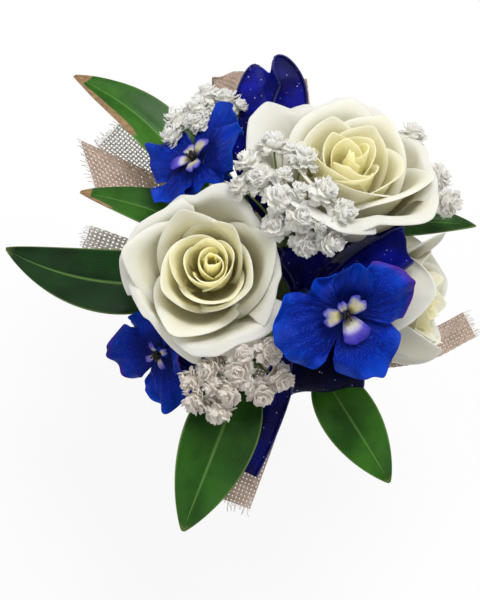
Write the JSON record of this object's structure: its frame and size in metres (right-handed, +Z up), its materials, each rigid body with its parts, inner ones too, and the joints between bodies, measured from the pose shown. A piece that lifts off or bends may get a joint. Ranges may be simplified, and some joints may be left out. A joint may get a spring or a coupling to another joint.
{
  "type": "wrist corsage",
  "caption": "Wrist corsage of cream roses, blue delphinium florets, baby's breath, leaves and ribbons, clamped on an elastic band that stretches over the hand.",
  "frame": {"origin": "centre of the wrist opening in the elastic band, halfway along its width", "axes": "+Z up through the clamp and the flowers, +Y along the forearm through the band, +X across the wrist"},
  "size_m": [0.1516, 0.1494, 0.1094],
  "materials": {
    "band_satin": "ruched ivory satin over elastic",
    "clamp_steel": "stamped bright steel",
    "floral_tape": "stretched waxed crepe tape",
    "binding_wire": "green lacquered wire",
    "rose_cream": "velvety fresh petal, warm yellow in the depths",
    "stem_green": "matt green sepals and taped stem",
    "sepal_blue": "satin royal blue petal with purple tips",
    "eye_white": "white petal with lilac tint",
    "leaf_green": "glossy, long parallel veins",
    "blossom_white": "matt ruffled white petals on thin green stems",
    "organza_blue": "sheer dark blue organza with satin edges",
    "mesh_blush": "open metallic net in blush beige"
  },
  "bodies": {
    "corsage": {"band_top": "band_satin", "band_side_right": "band_satin", "band_side_left": "band_satin", "clamp_plate": "clamp_steel", "stem_bundle": "floral_tape", "binding_wire": "binding_wire", "organza_knot": "organza_blue", "rose_front_heart": "rose_cream", "rose_front_petal_1": "rose_cream", "rose_front_petal_2": "rose_cream", "rose_front_petal_3": "rose_cream", "rose_front_petal_4": "rose_cream", "rose_front_petal_5": "rose_cream", "rose_front_calyx_stem": "stem_green", "rose_back_heart": "rose_cream", "rose_back_petal_1": "rose_cream", "rose_back_petal_2": "rose_cream", "rose_back_petal_3": "rose_cream", "rose_back_petal_4": "rose_cream", "rose_back_petal_5": "rose_cream", "rose_back_calyx_stem": "stem_green", "rose_side_heart": "rose_cream", "rose_side_petal_1": "rose_cream", "rose_side_petal_2": "rose_cream", "rose_side_petal_3": "rose_cream", "rose_side_petal_4": "rose_cream", "rose_side_petal_5": "rose_cream", "rose_side_calyx_stem": "stem_green", "floret_back_sepals": "sepal_blue", "floret_back_eye": "eye_white", "floret_front_sepals": "sepal_blue", "floret_front_eye": "eye_white", "floret_left_sepals": "sepal_blue", "floret_left_eye": "eye_white", "spray_left": "blossom_white", "spray_centre": "blossom_white", "spray_front": "blossom_white", "spray_right": "blossom_white", "organza_loop_back": "organza_blue", "organza_loop_right": "organza_blue", "organza_loop_left": "organza_blue", "organza_loop_front": "organza_blue", "mesh_loop_left": "mesh_blush", "mesh_loop_right": "mesh_blush", "mesh_tail_far_left": "mesh_blush"},
    "palm_band": {"band_palm": "band_satin", "band_seam_lap": "band_satin"},
    "prong_right": {"clamp_prong_right": "clamp_steel"},
    "prong_left": {"clamp_prong_left": "clamp_steel"},
    "leaf_back_left": {"leaf_back_left": "leaf_green"},
    "leaf_left": {"leaf_left": "leaf_green"},
    "leaf_far_left": {"leaf_far_left": "leaf_green"},
    "leaf_front": {"leaf_front": "leaf_green"},
    "leaf_front_right": {"leaf_front_right": "leaf_green"},
    "leaf_right": {"leaf_right": "leaf_green"},
    "mesh_tail_left": {"mesh_tail_left": "mesh_blush"},
    "mesh_tail_back_left": {"mesh_tail_back_left": "mesh_blush"},
    "mesh_tail_front": {"mesh_tail_front": "mesh_blush"},
    "mesh_tail_right": {"mesh_tail_right": "mesh_blush"},
    "organza_tail": {"organza_tail": "organza_blue"}
  },
  "joints": [
    {"name": "band_stretch", "type": "slide", "parent": "corsage", "child": "palm_band", "axis": [0, 0, -1], "range_m": [0, 0.026], "stiffness_N_per_m": 300, "springref_m": -0.002, "deforming": ["band_side_right", "band_side_left"]},
    {"name": "prong_right_fold", "type": "hinge", "parent": "corsage", "child": "prong_right", "pos_m": [0.00675, 0, 0.02615], "axis": [0, 1, 0], "range_deg": [0, 50]},
    {"name": "prong_left_fold", "type": "hinge", "parent": "corsage", "child": "prong_left", "pos_m": [-0.00675, 0, 0.02615], "axis": [0, -1, 0], "range_deg": [0, 50]},
    {"name": "leaf_back_left_bend", "type": "hinge", "parent": "corsage", "child": "leaf_back_left", "pos_m": [-0.0065, 0.014, 0.033], "axis": [0.6863, 0.7273, 0], "range_deg": [-3.5, 5]},
    {"name": "leaf_left_bend", "type": "hinge", "parent": "corsage", "child": "leaf_left", "pos_m": [-0.0065, 0.01, 0.033], "axis": [0.3379, 0.9412, 0], "range_deg": [-6, 9]},
    {"name": "leaf_far_left_bend", "type": "hinge", "parent": "corsage", "child": "leaf_far_left", "pos_m": [-0.0065, 0.006, 0.032], "axis": [0.1025, 0.9947, 0], "range_deg": [-8, 8]},
    {"name": "leaf_front_bend", "type": "hinge", "parent": "corsage", "child": "leaf_front", "pos_m": [-0.003, -0.0193, 0.033], "axis": [-0.8935, 0.4491, 0], "range_deg": [-5, 4]},
    {"name": "leaf_front_right_bend", "type": "hinge", "parent": "corsage", "child": "leaf_front_right", "pos_m": [0.0035, -0.0193, 0.033], "axis": [-0.8144, -0.5803, 0], "range_deg": [-25, 10]},
    {"name": "leaf_right_bend", "type": "hinge", "parent": "corsage", "child": "leaf_right", "pos_m": [0.0065, 0.014, 0.033], "axis": [0.1351, -0.9908, 0], "range_deg": [-20, 4]},
    {"name": "mesh_tail_left_bend", "type": "hinge", "parent": "corsage", "child": "mesh_tail_left", "pos_m": [-0.006, 0.0134, 0.03], "axis": [0.4484, 0.8938, 0], "range_deg": [-3.5, 0], "stiffness_Nm_per_rad": 0.02, "springref_deg": 1.15},
    {"name": "mesh_tail_back_left_bend", "type": "hinge", "parent": "corsage", "child": "mesh_tail_back_left", "pos_m": [-0.004, 0.018, 0.028], "axis": [0.6311, 0.7757, 0], "range_deg": [-10, 0], "stiffness_Nm_per_rad": 0.02, "springref_deg": 1.15},
    {"name": "mesh_tail_front_bend", "type": "hinge", "parent": "corsage", "child": "mesh_tail_front", "pos_m": [-0.001, -0.019, 0.0285], "axis": [-0.9456, 0.3254, 0], "range_deg": [-10, 0], "stiffness_Nm_per_rad": 0.02, "springref_deg": 1.15},
    {"name": "mesh_tail_right_bend", "type": "hinge", "parent": "corsage", "child": "mesh_tail_right", "pos_m": [0.005, -0.015, 0.029], "axis": [0.1601, -0.9871, 0], "range_deg": [-10, 0], "stiffness_Nm_per_rad": 0.02, "springref_deg": 1.15},
    {"name": "organza_tail_bend", "type": "hinge", "parent": "corsage", "child": "organza_tail", "pos_m": [0.001, -0.019, 0.032], "axis": [-0.9383, 0.3457, 0], "range_deg": [-4, 3], "stiffness_Nm_per_rad": 0.02, "springref_deg": 1.15}
  ]
}
